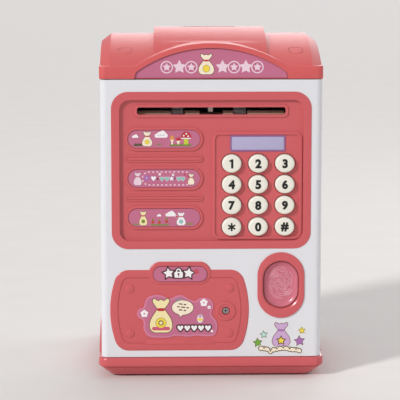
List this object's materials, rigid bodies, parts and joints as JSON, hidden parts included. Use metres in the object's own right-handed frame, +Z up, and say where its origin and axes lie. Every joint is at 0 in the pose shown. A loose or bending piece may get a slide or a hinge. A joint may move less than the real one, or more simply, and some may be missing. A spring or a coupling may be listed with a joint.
{
  "type": "toy savings bank",
  "caption": "Toy savings bank shaped like a cash machine, with a barrel roof, keypad, note slot, coin slot, fingerprint button and a hinged safe door.",
  "frame": {"origin": "on the floor, under the middle of the bank", "axes": "+Z up, -Y out of the front with the keypad, +X to the right seen from the front"},
  "size_m": [0.1356, 0.126, 0.2084],
  "materials": {
    "coral_plastic": "satin moulded coral ABS",
    "white_plastic": "satin moulded white ABS",
    "cream_plastic": "satin moulded cream ABS",
    "printed_label": "printed adhesive label",
    "lilac_lens": "glossy tinted window",
    "pink_lens": "translucent pink button",
    "grey_rubber": "matt grey rubber",
    "black_plastic": "matt black plastic",
    "circuit_board": "green solder mask",
    "steel": "plain steel",
    "nylon": "natural nylon"
  },
  "bodies": {
    "housing": {"roof_cover": "coral_plastic", "base_tray": "coral_plastic", "front_panel": "coral_plastic", "fingerprint_bezel": "coral_plastic", "front_shell": "white_plastic", "rear_shell": "white_plastic", "cash_bin": "white_plastic", "coin_chute": "white_plastic", "sign_label": "printed_label", "label_upper": "printed_label", "label_middle": "printed_label", "label_lower": "printed_label", "corner_label": "printed_label", "display_window": "lilac_lens", "foot_front_left": "grey_rubber", "foot_front_right": "grey_rubber", "foot_rear_left": "grey_rubber", "foot_rear_right": "grey_rubber", "keypad_membrane": "grey_rubber", "note_chute": "black_plastic", "latch_solenoid": "black_plastic", "battery_box": "black_plastic", "speaker": "black_plastic", "keypad_board": "circuit_board", "main_board": "circuit_board", "hinge_pin": "steel", "feed_motor": "steel", "case_screw_lower_left": "steel", "case_screw_lower_right": "steel", "case_screw_upper_left": "steel", "case_screw_upper_right": "steel"},
    "door": {"door_panel": "coral_plastic", "door_nameplate": "printed_label", "door_label": "printed_label", "door_lock_screw": "steel", "door_keeper": "steel"},
    "fingerprint_button": {"fingerprint_button": "pink_lens"},
    "latch_bolt": {"latch_plunger": "steel"},
    "feed_drive": {"feed_shaft": "steel", "feed_roller_left": "grey_rubber", "feed_roller_right": "grey_rubber", "feed_gear": "nylon"},
    "pinion": {"motor_pinion": "nylon"},
    "idler": {"idler_roller": "grey_rubber"},
    "note_lever": {"note_lever": "nylon"},
    "battery_door": {"battery_door": "white_plastic", "battery_screw": "steel"},
    "power_switch": {"power_switch": "black_plastic"},
    "key_1": {"key_1": "cream_plastic"},
    "key_2": {"key_2": "cream_plastic"},
    "key_3": {"key_3": "cream_plastic"},
    "key_4": {"key_4": "cream_plastic"},
    "key_5": {"key_5": "cream_plastic"},
    "key_6": {"key_6": "cream_plastic"},
    "key_7": {"key_7": "cream_plastic"},
    "key_8": {"key_8": "cream_plastic"},
    "key_9": {"key_9": "cream_plastic"},
    "key_star": {"key_star": "cream_plastic"},
    "key_0": {"key_0": "cream_plastic"},
    "key_hash": {"key_hash": "cream_plastic"}
  },
  "joints": [
    {"name": "door_hinge", "type": "hinge", "parent": "housing", "child": "door", "pos_m": [-0.0598, -0.06075, 0.0415], "axis": [0, 0, -1], "range_deg": [0, 90]},
    {"name": "fingerprint_press", "type": "slide", "parent": "housing", "child": "fingerprint_button", "axis": [0, 1, 0], "range_m": [0, 0.0016], "stiffness_N_per_m": 500, "springref_m": -0.0005},
    {"name": "latch_slide", "type": "slide", "parent": "housing", "child": "latch_bolt", "axis": [-1, 0, 0], "range_m": [0, 0.004], "stiffness_N_per_m": 100, "springref_m": -0.001},
    {"name": "feed_turn", "type": "hinge", "parent": "housing", "child": "feed_drive", "pos_m": [0, -0.0475, 0.1664], "axis": [1, 0, 0], "continuous": true},
    {"name": "pinion_turn", "type": "hinge", "parent": "housing", "child": "pinion", "pos_m": [0, -0.04283, 0.17642], "axis": [1, 0, 0], "continuous": true},
    {"name": "idler_turn", "type": "hinge", "parent": "housing", "child": "idler", "pos_m": [0, -0.0475, 0.1572], "axis": [1, 0, 0], "continuous": true},
    {"name": "note_lever_tip", "type": "hinge", "parent": "housing", "child": "note_lever", "pos_m": [0, -0.0542, 0.1695], "axis": [1, 0, 0], "range_deg": [0, 25], "stiffness_Nm_per_rad": 0.0005, "springref_deg": -11.46},
    {"name": "battery_door_tip", "type": "hinge", "parent": "housing", "child": "battery_door", "pos_m": [0, 0.0584, 0.0214], "axis": [-1, 0, 0], "range_deg": [0, 100]},
    {"name": "switch_slide", "type": "slide", "parent": "housing", "child": "power_switch", "axis": [1, 0, 0], "range_m": [0, 0.006]},
    {"name": "key_1_press", "type": "slide", "parent": "housing", "child": "key_1", "axis": [0, 1, 0], "range_m": [0, 0.0012], "stiffness_N_per_m": 400, "springref_m": -0.0005},
    {"name": "key_2_press", "type": "slide", "parent": "housing", "child": "key_2", "axis": [0, 1, 0], "range_m": [0, 0.0012], "stiffness_N_per_m": 400, "springref_m": -0.0005},
    {"name": "key_3_press", "type": "slide", "parent": "housing", "child": "key_3", "axis": [0, 1, 0], "range_m": [0, 0.0012], "stiffness_N_per_m": 400, "springref_m": -0.0005},
    {"name": "key_4_press", "type": "slide", "parent": "housing", "child": "key_4", "axis": [0, 1, 0], "range_m": [0, 0.0012], "stiffness_N_per_m": 400, "springref_m": -0.0005},
    {"name": "key_5_press", "type": "slide", "parent": "housing", "child": "key_5", "axis": [0, 1, 0], "range_m": [0, 0.0012], "stiffness_N_per_m": 400, "springref_m": -0.0005},
    {"name": "key_6_press", "type": "slide", "parent": "housing", "child": "key_6", "axis": [0, 1, 0], "range_m": [0, 0.0012], "stiffness_N_per_m": 400, "springref_m": -0.0005},
    {"name": "key_7_press", "type": "slide", "parent": "housing", "child": "key_7", "axis": [0, 1, 0], "range_m": [0, 0.0012], "stiffness_N_per_m": 400, "springref_m": -0.0005},
    {"name": "key_8_press", "type": "slide", "parent": "housing", "child": "key_8", "axis": [0, 1, 0], "range_m": [0, 0.0012], "stiffness_N_per_m": 400, "springref_m": -0.0005},
    {"name": "key_9_press", "type": "slide", "parent": "housing", "child": "key_9", "axis": [0, 1, 0], "range_m": [0, 0.0012], "stiffness_N_per_m": 400, "springref_m": -0.0005},
    {"name": "key_star_press", "type": "slide", "parent": "housing", "child": "key_star", "axis": [0, 1, 0], "range_m": [0, 0.0012], "stiffness_N_per_m": 400, "springref_m": -0.0005},
    {"name": "key_0_press", "type": "slide", "parent": "housing", "child": "key_0", "axis": [0, 1, 0], "range_m": [0, 0.0012], "stiffness_N_per_m": 400, "springref_m": -0.0005},
    {"name": "key_hash_press", "type": "slide", "parent": "housing", "child": "key_hash", "axis": [0, 1, 0], "range_m": [0, 0.0012], "stiffness_N_per_m": 400, "springref_m": -0.0005}
  ],
  "couplings": [
    {"joint": "pinion_turn", "follows": "feed_turn", "ratio": -2.6667},
    {"joint": "idler_turn", "follows": "feed_turn", "ratio": -1.25}
  ]
}
